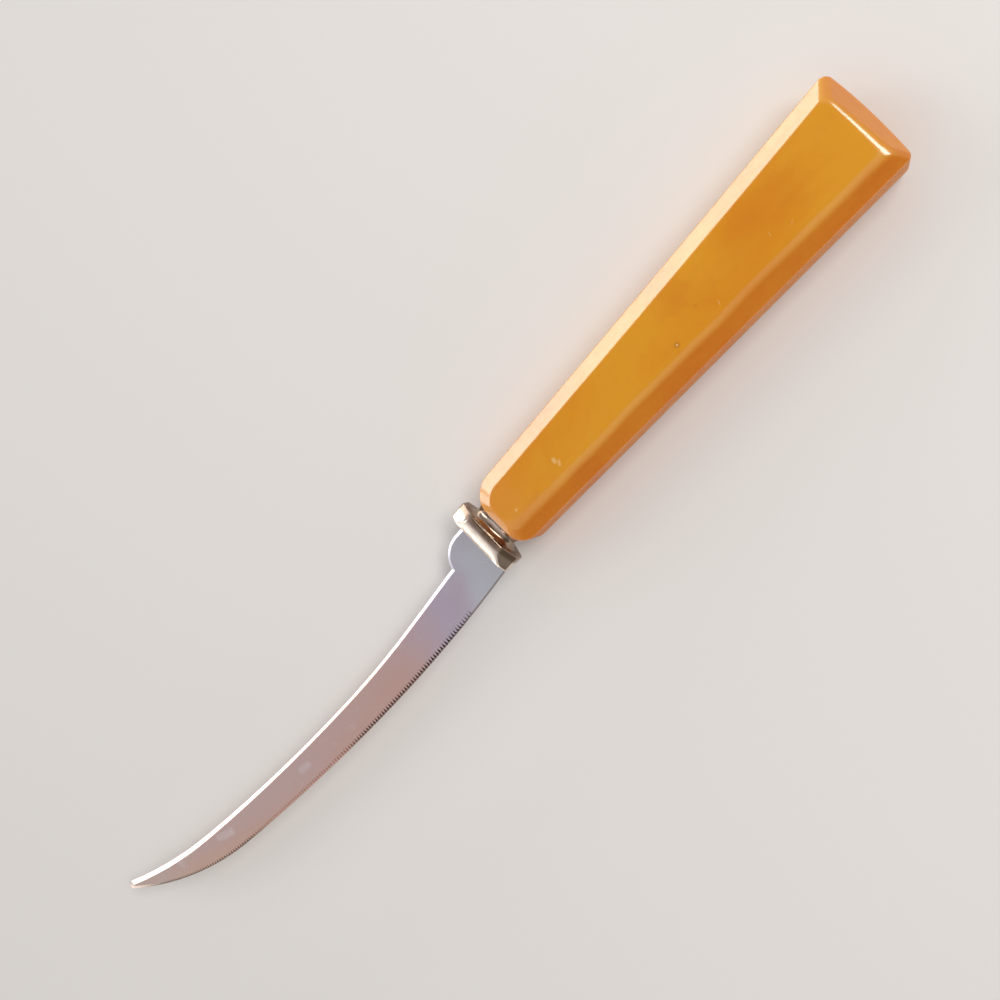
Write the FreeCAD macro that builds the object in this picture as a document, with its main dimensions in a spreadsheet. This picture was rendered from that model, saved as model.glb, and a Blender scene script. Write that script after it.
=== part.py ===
import FreeCAD, Part
import math
import os

import Sketcher

# Tomato knife lying flat on its handle: +X from tip to butt, +Y towards the spine, +Z up.
# Every piece is drawn about its own mid-plane, with X measured from the front of the bolster
# (blade and bolster) or from the front end of the handle.

Vector = FreeCAD.Vector
doc = FreeCAD.newDocument("tomato_knife")
sheet = doc.addObject("Spreadsheet::Sheet", "Sizes")

# Driving sizes in millimetres and degrees: name, value, what it is
drivingSizes = [
    ("bladeLength", "113.0", "front of the bolster to the tip"),
    ("bladeThickness", "1.0", "thickness of the blade"),
    ("rootDepth", "7.0", "cutting edge below the axis at the bolster"),
    ("bellyStation", "34.0", "lowest point of the cutting edge from the bolster"),
    ("bellyDepth", "8.95", "cutting edge below the axis at that point"),
    ("sweepFromTip", "31.0", "where the cutting edge starts to sweep up, from the tip"),
    ("sweepDepth", "6.4", "cutting edge below the axis there"),
    ("tipRise", "5.7", "centre of the rounded tip above the axis"),
    ("tipRadius", "0.85", "radius of the rounded tip"),
    ("spineSweepFromTip", "24.0", "where the spine starts to sweep up, from the tip"),
    ("spineSweepRise", "1.0", "spine above the axis there"),
    ("spineLowStation", "42.0", "lowest point of the hollow spine"),
    ("spineLowDepth", "1.73", "spine below the axis there"),
    ("spineStraight", "22.0", "end of the straight stretch of spine from the bolster"),
    ("notchRise", "0.65", "inner corner behind the thumb rest, above the axis"),
    ("restRise", "4.55", "top of the thumb rest above the axis"),
    ("restFlat", "2.5", "flat top of the thumb rest from the bolster"),
    ("restRadius", "5.3", "round of the thumb rest"),
    ("spineLand", "0.12", "flat left along the middle of the spine"),
    ("restBevel", "0.6", "bevel width round the thumb rest"),
    ("spineBevel", "0.62", "bevel width along the hollow of the spine"),
    ("tipBevel", "0.88", "bevel width where the spine sweeps up"),
    ("tipFaceBack", "1.45", "end of the flat face behind the tip"),
    ("tipFaceDrop", "0.45", "end of the flat face below the centre of the tip"),
    ("tipFaceRadius", "0.15", "round at the end of the flat face"),
    ("edgeBevel", "0.25", "bevel width along the cutting edge"),
    ("fluteStart", "11.0", "first flute from the bolster"),
    ("flutePitch", "0.71", "flute to flute along the edge"),
    ("fluteReach", "1.15", "flute length on the face near the bolster"),
    ("fluteTipReach", "0.62", "flute length on the face near the tip"),
    ("fluteSlope", "58.0", "angle of the flute floor to the face"),
    ("fluteFirstSlope", "12.0", "angle of the first, shallow flute"),
    ("fluteRunIn", "9.0", "length over which the flutes reach their full angle"),
    ("fluteFirstWidth", "0.315", "width of the first flute at the edge"),
    ("fluteLand", "0.08", "land left between flutes at the edge"),
    ("fluteStop", "2.1", "cutting edge left plain before the tip"),
    ("fluteAbove", "0.02", "flute cutters above the face"),
    ("fluteBeyond", "0.05", "flute cutters beyond the cutting edge"),
    ("tangWidth", "5.0", "width of the tang"),
    ("tangDepth", "28.0", "tang inside the handle"),
    ("tangPoint", "1.2", "corners cut off the end of the tang"),
    ("tangGap", "0.1", "clearance round the tang"),
    ("socketSpare", "1.0", "socket left empty beyond the tang"),
    ("flangeLength", "3.7", "bolster flange along the knife"),
    ("flangeWidth", "14.7", "flange across the knife"),
    ("flangeHeight", "7.4", "flange thickness"),
    ("flangeCornerWide", "3.3", "end bevels of the flange section, across the knife"),
    ("flangeCornerHigh", "2.4", "the same bevels, in height"),
    ("flangeSlant", "2.3", "slanted front facet along the knife"),
    ("flangeSlantDrop", "1.4", "slanted front facet in height"),
    ("flangeSoft", "0.35", "polished round on the flange edges"),
    ("waistLength", "2.2", "hollow waist along the knife"),
    ("waistWidth", "9.4", "waist across the knife"),
    ("waistHeight", "5.4", "waist thickness"),
    ("waistFlare", "0.7", "waist wider than its middle at the flange, each side"),
    ("rimLength", "0.6", "rear rim along the knife"),
    ("rimWidth", "10.7", "rear rim across the knife"),
    ("rimHeight", "6.8", "rear rim thickness"),
    ("handleLength", "90.8", "front end to butt"),
    ("frontWidth", "13.8", "handle width at the front end"),
    ("buttWidth", "19.6", "handle width at the butt"),
    ("buttBow", "0.5", "outward bow of the butt"),
    ("handleThickness", "11.0", "handle between its two flat faces"),
    ("bevelDepth", "2.2", "long bevels and butt bevel, in height"),
    ("sideBevel", "3.0", "long bevels in plan"),
    ("buttBevel", "3.3", "butt bevel in plan, at the corners"),
    ("cutSpare", "1.0", "bevel cutters beyond the surfaces they cut"),
    ("frontCorner", "2.5", "round of the front corners in plan"),
    ("buttCorner", "1.5", "round of the butt corners in plan"),
    ("handleRound", "0.8", "polished round on the other edges of the handle"),
]
for row, (alias, number, note) in enumerate(drivingSizes, start=1):
    sheet.set(f"A{row}", note)
    sheet.set(f"B{row}", number)
    sheet.setAlias(f"B{row}", alias)
doc.recompute()


def inSheet(expression):
    for alias, _, _ in sorted(drivingSizes, key=lambda size: -len(size[0])):
        expression = expression.replace(f"<{alias}>", f"Sizes.{alias}")
    return expression


def value(expression):
    result = sheet.evalExpression(inSheet(expression))
    return float(getattr(result, "Value", result))


def newBody(name):
    body = doc.addObject("PartDesign::Body", name)
    body.Label = name
    return body


def originPlane(body, role):
    return next(feature for feature in body.Origin.OriginFeatures if feature.Role == role)


# Drawn on one of the body's own planes, or parallel to it
def newSketch(body, name, role, offset=None):
    sketch = body.newObject("Sketcher::SketchObject", name)
    sketch.AttachmentSupport = [(originPlane(body, role), "")]
    sketch.MapMode = "FlatFace"
    if offset is not None:
        sketch.setExpression("AttachmentOffset.Base.z", inSheet(offset))
    return sketch


# Ties a point to the sizes by its distances from the sketch origin
def pin(sketch, geometry, end, across, up):
    for kind, axis, expression in (("DistanceX", -2, across), ("DistanceY", -1, up)):
        if expression is None:
            continue
        if expression == "0":
            sketch.addConstraint(Sketcher.Constraint("PointOnObject", geometry, end, axis))
            continue
        index = sketch.addConstraint(
            Sketcher.Constraint(kind, -1, 1, geometry, end, value(expression))
        )
        sketch.setExpression(f"Constraints[{index}]", inSheet(expression))


def size(sketch, kind, geometry, expression):
    index = sketch.addConstraint(Sketcher.Constraint(kind, geometry, value(expression)))
    sketch.setExpression(f"Constraints[{index}]", inSheet(expression))


# Closed outline of straight lines through corners given as expressions
def polygon(sketch, corners):
    points = [Vector(value(across), value(up), 0) for across, up in corners]
    for here, there in zip(points, points[1:] + points[:1]):
        sketch.addGeometry(Part.LineSegment(here, there), False)
    for index, (across, up) in enumerate(corners):
        before = (index - 1) % len(corners)
        sketch.addConstraint(Sketcher.Constraint("Coincident", before, 2, index, 1))
        pin(sketch, index, 1, across, up)


# Ellipse about the origin, its half axes given as expressions
def ellipse(sketch, halfAcross, halfUp):
    across, up = value(halfAcross), value(halfUp)
    shape = Part.Ellipse(Vector(0, 0, 0), across, up)
    sketch.addGeometry(shape, False)
    sketch.exposeInternalGeometry(0)
    sketch.addConstraint(Sketcher.Constraint("Coincident", 0, 3, -1, 1))
    sketch.addConstraint(Sketcher.Constraint("Horizontal", 1))
    size(sketch, "Distance", 1, f"2 * ({halfAcross})")
    size(sketch, "Distance", 2, f"2 * ({halfUp})")


# Arcs of the blade outline, found from what they touch

# A quarter turn to the left
def turned(direction):
    return Vector(-direction.y, direction.x, 0)


# Arc that leaves start along the heading and ends at end, and its heading there
def arcFromTangent(start, heading, end):
    chord = end - start
    side = turned(heading)
    radius = chord.Length ** 2 / (2 * chord.dot(side))
    centre = start + side * radius
    out = (end - centre) / radius
    return centre, abs(radius), turned(out)


# The shorter arc between two points, and whether it runs from end to start
def arcBetween(centre, radius, start, end):
    first = math.atan2(start.y - centre.y, start.x - centre.x)
    last = math.atan2(end.y - centre.y, end.x - centre.x)
    reversedArc = (last - first) % (2 * math.pi) > math.pi
    if reversedArc:
        first, last = last, first
    circle = Part.Circle(centre, Vector(0, 0, 1), radius)
    return Part.ArcOfCircle(circle, first, last), reversedArc


# Arc that leaves start along the heading, curves right and touches the tip circle
def touchingArc(start, heading, tipCentre, tipRound, inside):
    side = turned(heading)
    away = start - tipCentre
    rounding = -tipRound if inside else tipRound
    radius = (tipRound ** 2 - away.Length ** 2) / (2 * (away.dot(side) + rounding))
    centre = start + side * radius
    towards = tipCentre - centre
    towards.normalize()
    return centre, abs(radius), centre + towards * abs(radius)


def place(across, up):
    return Vector(value(across), value(up), 0)


# Blade: the outline at mid-thickness, and the flat faces inside its bevels

middleOutline = {
    "root": "<rootDepth>",
    "belly": "<bellyDepth>",
    "sweep": "<sweepDepth>",
    "restRise": "<restRise>",
    "restRadius": "<restRadius>",
    "notch": "<notchRise>",
    "low": "<spineLowDepth>",
    "spineSweep": "<spineSweepRise>",
    "tipAcross": "<tipRadius> - <bladeLength>",
    "tipUp": "<tipRise>",
    "tipRadius": "<tipRadius>",
}
faceOutline = {
    "root": "<rootDepth> - <edgeBevel>",
    "belly": "<bellyDepth> - <edgeBevel>",
    "sweep": "<sweepDepth> - <edgeBevel>",
    "restRise": "<restRise> - <restBevel>",
    "restRadius": "<restRadius> - <restBevel>",
    "notch": "<notchRise> - <spineBevel>",
    "low": "<spineLowDepth> + <spineBevel>",
    "spineSweep": "<spineSweepRise> - <tipBevel>",
    "tipAcross": "<tipFaceBack> - <bladeLength>",
    "tipUp": "<tipRise> - <tipFaceDrop>",
    "tipRadius": "<tipFaceRadius>",
}


# Closed outline of the blade; lines 8 to 10 of it are the cutting edge, tip to root
def bladeOutline(body, name, height, outline):
    sketch = newSketch(body, name, "XY_Plane", height)
    towardsTip = Vector(-1, 0, 0)
    towardsRoot = Vector(1, 0, 0)
    root = place("0", f"-({outline['root']})")
    belly = place("-<bellyStation>", f"-({outline['belly']})")
    sweep = place("<sweepFromTip> - <bladeLength>", f"-({outline['sweep']})")
    top = place("0", outline["restRise"])
    restEnd = place("-<restFlat>", outline["restRise"])
    low = place("-<spineLowStation>", f"-({outline['low']})")
    spineSweep = place("<spineSweepFromTip> - <bladeLength>", outline["spineSweep"])
    tipCentre = place(outline["tipAcross"], outline["tipUp"])
    tipRound = value(outline["tipRadius"])
    restRound = value(outline["restRadius"])

    restCentre = restEnd - Vector(0, restRound, 0)
    notchUp = value(outline["notch"])
    restReach = math.sqrt(restRound ** 2 - (notchUp - restCentre.y) ** 2)
    notch = Vector(restCentre.x - restReach, notchUp, 0)

    # Hollow of the spine: a straight stretch, then an arc level at its lowest point
    straightEnd = value("<spineStraight>")
    bend = value("<spineLowStation>") - straightEnd
    hollowRadius = bend * (bend / 2 + straightEnd + notch.x) / (notch.y - low.y)
    hollowCentre = low + Vector(0, hollowRadius, 0)
    hollowStart = hollowCentre + Vector(bend, -math.sqrt(hollowRadius ** 2 - bend ** 2), 0)

    backCentre, backRadius, backHeading = arcFromTangent(low, towardsTip, spineSweep)
    riseCentre, riseRadius, riseEnd = touchingArc(
        spineSweep, backHeading, tipCentre, tipRound, False
    )
    bellyCentre, bellyRadius, bellyHeading = arcFromTangent(belly, towardsTip, sweep)
    upCentre, upRadius, upStart = touchingArc(sweep, bellyHeading, tipCentre, tipRound, True)
    rootCentre, rootRadius, _ = arcFromTangent(belly, towardsRoot, root)

    chain = [
        ("line", root, top),
        ("line", top, restEnd),
        (restCentre, restRound, restEnd, notch),
        ("line", notch, hollowStart),
        (hollowCentre, hollowRadius, hollowStart, low),
        (backCentre, backRadius, low, spineSweep),
        (riseCentre, riseRadius, spineSweep, riseEnd),
        (tipCentre, tipRound, riseEnd, upStart),
        (upCentre, upRadius, upStart, sweep),
        (bellyCentre, bellyRadius, sweep, belly),
        (rootCentre, rootRadius, belly, root),
    ]
    ends = []
    for piece in chain:
        if piece[0] == "line":
            sketch.addGeometry(Part.LineSegment(piece[1], piece[2]), False)
            ends.append((1, 2))
        else:
            arc, reversedArc = arcBetween(*piece)
            sketch.addGeometry(arc, False)
            ends.append((2, 1) if reversedArc else (1, 2))

    smoothJoints = {1, 3, 4, 5, 6, 7, 8, 9}
    for index in range(len(chain)):
        following = (index + 1) % len(chain)
        kind = "Tangent" if index in smoothJoints else "Coincident"
        sketch.addConstraint(
            Sketcher.Constraint(kind, index, ends[index][1], following, ends[following][0])
        )
    pin(sketch, 0, 1, "0", f"-({outline['root']})")
    pin(sketch, 0, 2, "0", outline["restRise"])
    sketch.addConstraint(Sketcher.Constraint("Horizontal", 1))
    pin(sketch, 1, 2, "-<restFlat>", None)
    size(sketch, "Radius", 2, outline["restRadius"])
    pin(sketch, 3, 1, None, outline["notch"])
    pin(sketch, 3, 2, "-<spineStraight>", None)
    pin(sketch, 5, ends[5][0], "-<spineLowStation>", f"-({outline['low']})")
    sketch.addConstraint(Sketcher.Constraint("Vertical", 4, 3, 4, ends[4][1]))
    pin(sketch, 6, ends[6][0], "<spineSweepFromTip> - <bladeLength>", outline["spineSweep"])
    pin(sketch, 7, 3, outline["tipAcross"], outline["tipUp"])
    size(sketch, "Radius", 7, outline["tipRadius"])
    pin(sketch, 9, ends[9][0], "<sweepFromTip> - <bladeLength>", f"-({outline['sweep']})")
    pin(sketch, 10, ends[10][0], "-<bellyStation>", f"-({outline['belly']})")
    sketch.addConstraint(Sketcher.Constraint("Vertical", 10, 3, 10, ends[10][0]))
    return sketch


blank = newBody("blade_blank")
levels = [
    ("LowerFace", "-<bladeThickness> / 2", faceOutline),
    ("LowerLand", "-<spineLand> / 2", middleOutline),
    ("UpperLand", "<spineLand> / 2", middleOutline),
    ("UpperFace", "<bladeThickness> / 2", faceOutline),
]
outlines = [bladeOutline(blank, name, height, outline) for name, height, outline in levels]
doc.recompute()
bladeLoft = blank.newObject("PartDesign::AdditiveLoft", "BladeLoft")
bladeLoft.Profile = outlines[0]
bladeLoft.Sections = outlines[1:]
bladeLoft.Ruled = True

tangSketch = newSketch(blank, "TangOutline", "XY_Plane")
tangEnd = "<flangeLength> + <waistLength> + <rimLength> + <tangDepth>"
polygon(
    tangSketch,
    [
        ("0", "-<tangWidth> / 2"),
        (f"{tangEnd} - <tangPoint>", "-<tangWidth> / 2"),
        (tangEnd, "<tangPoint> - <tangWidth> / 2"),
        (tangEnd, "<tangWidth> / 2 - <tangPoint>"),
        (f"{tangEnd} - <tangPoint>", "<tangWidth> / 2"),
        ("0", "<tangWidth> / 2"),
    ],
)
tang = blank.newObject("PartDesign::Pad", "Tang")
tang.Profile = tangSketch
tang.SideType = "Symmetric"
tang.setExpression("Length", inSheet("<bladeThickness>"))
doc.recompute()

# Flutes ground into the upper face along the cutting edge: each is a wedge-shaped cut whose
# floor runs down from the face to the edge

top = value("<bladeThickness> / 2")
above = value("<fluteAbove>")
beyond = value("<fluteBeyond>")


# Points along the cutting edge at the flute pitch, from the bolster to the tip
def edgePoints(sketch, pitch):
    arcs = [sketch.Geometry[index].toShape() for index in (10, 9, 8)]
    wire = Part.Wire(Part.__sortEdges__(arcs))
    points = wire.discretize(Distance=pitch)
    return points if points[0].x > points[-1].x else points[::-1]


# Solid with four corners and four flat faces
def wedge(corners):
    triangles = ((0, 1, 2), (0, 2, 3), (0, 3, 1), (1, 3, 2))
    faces = []
    for triangle in triangles:
        loop = [corners[index] for index in triangle]
        faces.append(Part.Face(Part.makePolygon(loop + loop[:1])))
    solid = Part.Solid(Part.Shell(faces))
    return solid if solid.Volume > 0 else solid.reversed()


# One cutter: its floor starts on the face at the reach and drops at the slope to the edge
def flute(edge, tipward, reach, slope, width):
    inward = Vector(tipward.y, -tipward.x, 0)
    drop = math.tan(math.radians(slope))
    start = edge + inward * (reach + above / drop) + Vector(0, 0, top + above)
    outer = edge - inward * beyond + Vector(0, 0, top + above)
    floor = outer - Vector(0, 0, above + (reach + beyond) * drop)
    side = tipward * (width / 2)
    return wedge([start, outer + side, outer - side, floor])


def between(first, last, share):
    return first + share * (last - first)


pitch = value("<flutePitch>")
reaches = value("<fluteReach>"), value("<fluteTipReach>")
slopes = value("<fluteFirstSlope>"), value("<fluteSlope>")
widths = value("<fluteFirstWidth>"), pitch - value("<fluteLand>")
runInCount = value("<fluteRunIn>") / pitch
edge = edgePoints(outlines[1], pitch)
firstFlute = math.ceil(value("<fluteStart>") / pitch)
lastFlute = len(edge) - math.ceil(value("<fluteStop>") / pitch)
cutters = []
for index in range(firstFlute, lastFlute):
    tipward = edge[index + 1] - edge[index - 1]
    tipward.normalize()
    along = (index - firstFlute) / (lastFlute - firstFlute)
    runIn = min(1, (index - firstFlute) / runInCount)
    reach = between(*reaches, along)
    slope = between(*slopes, runIn)
    width = between(*widths, runIn)
    cutters.append(flute(edge[index], tipward, reach, slope, width))
flutes = doc.addObject("Part::Feature", "flutes")
flutes.Shape = Part.makeCompound(cutters)

blade = doc.addObject("Part::Cut", "blade")
blade.Label = "blade"
blade.Base = blank
blade.Tool = flutes
doc.recompute()


# Bolster: a thick front flange with slanted front facets, a hollow waist and a thin rear rim

bolster = newBody("bolster")
flangeSection = newSketch(bolster, "FlangeSection", "YZ_Plane")
halfWide = "<flangeWidth> / 2"
halfHigh = "<flangeHeight> / 2"
polygon(
    flangeSection,
    [
        (halfWide, f"<flangeCornerHigh> - {halfHigh}"),
        (halfWide, f"{halfHigh} - <flangeCornerHigh>"),
        (f"{halfWide} - <flangeCornerWide>", halfHigh),
        (f"<flangeCornerWide> - {halfWide}", halfHigh),
        (f"-{halfWide}", f"{halfHigh} - <flangeCornerHigh>"),
        (f"-{halfWide}", f"<flangeCornerHigh> - {halfHigh}"),
        (f"<flangeCornerWide> - {halfWide}", f"-{halfHigh}"),
        (f"{halfWide} - <flangeCornerWide>", f"-{halfHigh}"),
    ],
)
flange = bolster.newObject("PartDesign::Pad", "Flange")
flange.Profile = flangeSection
flange.setExpression("Length", inSheet("<flangeLength>"))
doc.recompute()


# Names of the edges whose two ends and middle all pass the test
def edgesWhere(shape, test):
    names = []
    for number, edge in enumerate(shape.Edges, start=1):
        middle = edge.valueAt((edge.FirstParameter + edge.LastParameter) / 2)
        if all(test(point) for point in [middle] + [vertex.Point for vertex in edge.Vertexes]):
            names.append(f"Edge{number}")
    return names


def near(one, other):
    return abs(one - other) < 1e-4


flangeTop = value(halfHigh)


def frontLongEdge(at):
    return near(at.x, 0) and near(abs(at.z), flangeTop)


slant = bolster.newObject("PartDesign::Chamfer", "FrontFacets")
slant.Base = (flange, edgesWhere(flange.Shape, frontLongEdge))
slant.ChamferType = "Two distances"
slant.setExpression("Size", inSheet("<flangeSlant>"))
slant.setExpression("Size2", inSheet("<flangeSlantDrop>"))
doc.recompute()

soften = bolster.newObject("PartDesign::Fillet", "FlangeSoftEdges")
soften.Base = (slant, edgesWhere(slant.Shape, lambda at: True))
soften.setExpression("Radius", inSheet("<flangeSoft>"))
doc.recompute()

waistSections = [
    ("WaistFront", "<flangeLength> - <flangeSoft>", "<waistFlare>"),
    ("WaistMiddle", "<flangeLength> + <waistLength> / 2", "0"),
]
waistSketches = []
for name, station, flare in waistSections:
    section = newSketch(bolster, name, "YZ_Plane", station)
    ellipse(section, f"<waistWidth> / 2 + {flare}", f"<waistHeight> / 2 + {flare}")
    waistSketches.append(section)
rimFront = newSketch(bolster, "RimFront", "YZ_Plane", "<flangeLength> + <waistLength>")
ellipse(rimFront, "<rimWidth> / 2", "<rimHeight> / 2")
doc.recompute()
waist = bolster.newObject("PartDesign::AdditiveLoft", "Waist")
waist.Profile = waistSketches[0]
waist.Sections = [waistSketches[1], rimFront]
doc.recompute()

rim = bolster.newObject("PartDesign::Pad", "RearRim")
rim.Profile = rimFront
rim.setExpression("Length", inSheet("<rimLength>"))
doc.recompute()

slotSketch = newSketch(bolster, "TangSlotSection", "YZ_Plane")
slotWide = "<tangWidth> / 2 + <tangGap>"
slotHigh = "<bladeThickness> / 2 + <tangGap>"
slotCorners = [
    (slotWide, f"-({slotHigh})"),
    (slotWide, slotHigh),
    (f"-({slotWide})", slotHigh),
    (f"-({slotWide})", f"-({slotHigh})"),
]
polygon(slotSketch, slotCorners)
slot = bolster.newObject("PartDesign::Pocket", "TangSlot")
slot.Profile = slotSketch
slot.Reversed = True
slot.Type = "ThroughAll"
doc.recompute()


# Handle: a tapered slab with bevels down both long sides and across the butt, on both faces

handle = newBody("handle")
plan = newSketch(handle, "HandlePlan", "XY_Plane")
buttCorner = "<handleLength> - <buttBow>"
halfFront = value("<frontWidth> / 2")
halfButt = value("<buttWidth> / 2")
cornerStation = value(buttCorner)
lowerFront = Vector(0, -halfFront, 0)
lowerButt = Vector(cornerStation, -halfButt, 0)
upperButt = Vector(cornerStation, halfButt, 0)
upperFront = Vector(0, halfFront, 0)
bow = Vector(value("<handleLength>"), 0, 0)
plan.addGeometry(Part.LineSegment(lowerFront, lowerButt), False)
plan.addGeometry(Part.Arc(lowerButt, bow, upperButt), False)
plan.addGeometry(Part.LineSegment(upperButt, upperFront), False)
plan.addGeometry(Part.LineSegment(upperFront, lowerFront), False)
for before, after in ((0, 1), (1, 2), (2, 3), (3, 0)):
    plan.addConstraint(Sketcher.Constraint("Coincident", before, 2, after, 1))
pin(plan, 0, 1, "0", "-<frontWidth> / 2")
pin(plan, 0, 2, buttCorner, "-<buttWidth> / 2")
pin(plan, 2, 1, buttCorner, "<buttWidth> / 2")
pin(plan, 2, 2, "0", "<frontWidth> / 2")
size(plan, "Radius", 1, "<buttBow> / 2 + <buttWidth> ^ 2 / (8 * <buttBow>)")
slab = handle.newObject("PartDesign::Pad", "Slab")
slab.Profile = plan
slab.SideType = "Symmetric"
slab.setExpression("Length", inSheet("<handleThickness>"))
doc.recompute()


# Names of the edges that stand straight up where the test holds
def uprightEdges(shape, test):
    names = []
    for number, edge in enumerate(shape.Edges, start=1):
        foot, head = edge.Vertexes[0].Point, edge.Vertexes[-1].Point
        if near(foot.x, head.x) and near(foot.y, head.y) and test(foot):
            names.append(f"Edge{number}")
    return names


def rounded(base, name, names, radius):
    rounding = handle.newObject("PartDesign::Fillet", name)
    rounding.Base = (base, names)
    rounding.setExpression("Radius", inSheet(radius))
    doc.recompute()
    return rounding


frontEdges = uprightEdges(slab.Shape, lambda at: at.x < cornerStation / 2)
frontRounded = rounded(slab, "FrontCorners", frontEdges, "<frontCorner>")
buttEdges = uprightEdges(frontRounded.Shape, lambda at: near(at.x, cornerStation))
rounded(frontRounded, "ButtCorners", buttEdges, "<buttCorner>")


# Triangles above and below the middle plane; the slanted side of each lies on the bevel
def bevelSection(name, role, side, outer, width):
    sketch = newSketch(handle, name, role)
    face = "<handleThickness> / 2"
    slope = f"(<bevelDepth> / {width})"
    inner = f"{side}({outer} - {width} - <cutSpare> / {slope})"
    beyond = f"{side}({outer} + <cutSpare>)"
    for first, level in ((0, ""), (3, "-")):
        corners = [
            (inner, f"{level}({face} + <cutSpare>)"),
            (beyond, f"{level}({face} + <cutSpare>)"),
            (beyond, f"{level}({face} - <bevelDepth> - <cutSpare> * {slope})"),
        ]
        points = [place(across, up) for across, up in corners]
        for here, there in zip(points, points[1:] + points[:1]):
            sketch.addGeometry(Part.LineSegment(here, there), False)
        for index, (across, up) in enumerate(corners):
            before = first + (index - 1) % 3
            sketch.addConstraint(Sketcher.Constraint("Coincident", before, 2, first + index, 1))
            pin(sketch, first + index, 1, across, up)
    return sketch


buttBevels = handle.newObject("PartDesign::Pocket", "ButtBevels")
buttBevels.Profile = bevelSection("ButtBevelSection", "XZ_Plane", "", buttCorner, "<buttBevel>")
buttBevels.Type = "ThroughAll"
buttBevels.SideType = "Symmetric"
doc.recompute()

taper = "(<buttWidth> - <frontWidth>) / 2 / (<handleLength> - <buttBow>)"
for name, side in (("Spine", ""), ("Edge", "-")):
    section = bevelSection(f"{name}BevelSection", "YZ_Plane", side, "<frontWidth> / 2", "<sideBevel>")
    sideBevels = handle.newObject("PartDesign::Pocket", f"{name}SideBevels")
    sideBevels.Profile = section
    sideBevels.UseCustomVector = True
    sideBevels.Direction = Vector(1, value(f"{side}{taper}"), 0)
    sideBevels.setExpression("Direction.y", inSheet(f"{side}{taper}"))
    sideBevels.AlongSketchNormal = True
    sideBevels.Type = "Length"
    sideBevels.setExpression("Length", inSheet("<handleLength> + <cutSpare>"))
    doc.recompute()

seams = uprightEdges(sideBevels.Shape, lambda at: True)
allEdges = [f"Edge{number}" for number in range(1, len(sideBevels.Shape.Edges) + 1)]
sharpEdges = [name for name in allEdges if name not in seams]
rounded(sideBevels, "PolishedEdges", sharpEdges, "<handleRound>")

socketSketch = newSketch(handle, "TangSocketSection", "YZ_Plane")
polygon(socketSketch, slotCorners)
socket = handle.newObject("PartDesign::Pocket", "TangSocket")
socket.Profile = socketSketch
socket.Reversed = True
socket.setExpression("Length", inSheet("<tangDepth> + <socketSpare>"))
doc.recompute()


# Pieces in place: the middle of the whole knife over the origin, handle flat on Z = 0

bolsterLength = "(<flangeLength> + <waistLength> + <rimLength>)"
bolsterFront = f"(<bladeLength> - {bolsterLength} - <handleLength>) / 2"
stations = [
    (blade, bolsterFront),
    (bolster, bolsterFront),
    (handle, f"{bolsterFront} + {bolsterLength}"),
]
for piece, station in stations:
    piece.setExpression("Placement.Base.x", inSheet(station))
    piece.setExpression("Placement.Base.z", inSheet("<handleThickness> / 2"))
doc.recompute()

for item in doc.Objects:
    if "Invalid" in item.State or "Error" in item.State:
        raise RuntimeError(f"{item.Label} failed to build")
for piece, _ in stations:
    shape = piece.Shape
    if shape.isNull() or not shape.isValid() or len(shape.Solids) != 1:
        raise RuntimeError(f"{piece.Label} is not one sound solid")

os.makedirs("parts", exist_ok=True)
for piece, _ in stations:
    piece.Shape.exportStep(f"parts/{piece.Label}.step")
    print(piece.Label, round(piece.Shape.Volume, 2), piece.Shape.optimalBoundingBox())
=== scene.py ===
import math

import bmesh
import bpy
from mathutils import Matrix, Vector


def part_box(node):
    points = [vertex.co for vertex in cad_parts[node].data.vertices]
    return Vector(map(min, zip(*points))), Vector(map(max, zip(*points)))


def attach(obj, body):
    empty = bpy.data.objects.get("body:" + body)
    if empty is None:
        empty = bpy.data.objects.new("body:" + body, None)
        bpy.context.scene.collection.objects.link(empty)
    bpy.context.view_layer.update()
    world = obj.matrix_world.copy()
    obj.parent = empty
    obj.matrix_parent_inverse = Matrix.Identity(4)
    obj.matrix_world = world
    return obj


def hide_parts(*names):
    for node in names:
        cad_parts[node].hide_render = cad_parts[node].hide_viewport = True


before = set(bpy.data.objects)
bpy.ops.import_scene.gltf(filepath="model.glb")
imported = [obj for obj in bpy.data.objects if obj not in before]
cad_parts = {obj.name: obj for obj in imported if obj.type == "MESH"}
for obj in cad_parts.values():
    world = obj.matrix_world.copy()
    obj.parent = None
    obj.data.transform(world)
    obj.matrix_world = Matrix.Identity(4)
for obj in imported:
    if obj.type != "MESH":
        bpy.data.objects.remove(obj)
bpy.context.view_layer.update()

# Everything is typed in millimetres and brought to metres with mm
mm = 0.001


# Small helpers for nodes and meshes

def feed(tree, socket, given):
    # A socket takes either another node's output or a plain value
    if isinstance(given, bpy.types.NodeSocket):
        tree.links.new(given, socket)
    else:
        socket.default_value = given


def addNode(tree, kind, settings=None, inputs=None):
    made = tree.nodes.new(kind)
    for name, setting in (settings or {}).items():
        setattr(made, name, setting)
    for name, given in (inputs or {}).items():
        feed(tree, made.inputs[name], given)
    return made


def mixColours(tree, share, first, second):
    made = tree.nodes.new("ShaderNodeMix")
    made.data_type = "RGBA"
    # Of the node's many sockets, 0, 6 and 7 are the share and the two colours
    for number, given in ((0, share), (6, first), (7, second)):
        feed(tree, made.inputs[number], given)
    return made.outputs[2]


def sums(tree, operation, first, second=0.0, third=0.0):
    made = tree.nodes.new("ShaderNodeMath")
    made.operation = operation
    for socket, given in zip(made.inputs, (first, second, third)):
        feed(tree, socket, given)
    return made.outputs[0]


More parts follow.
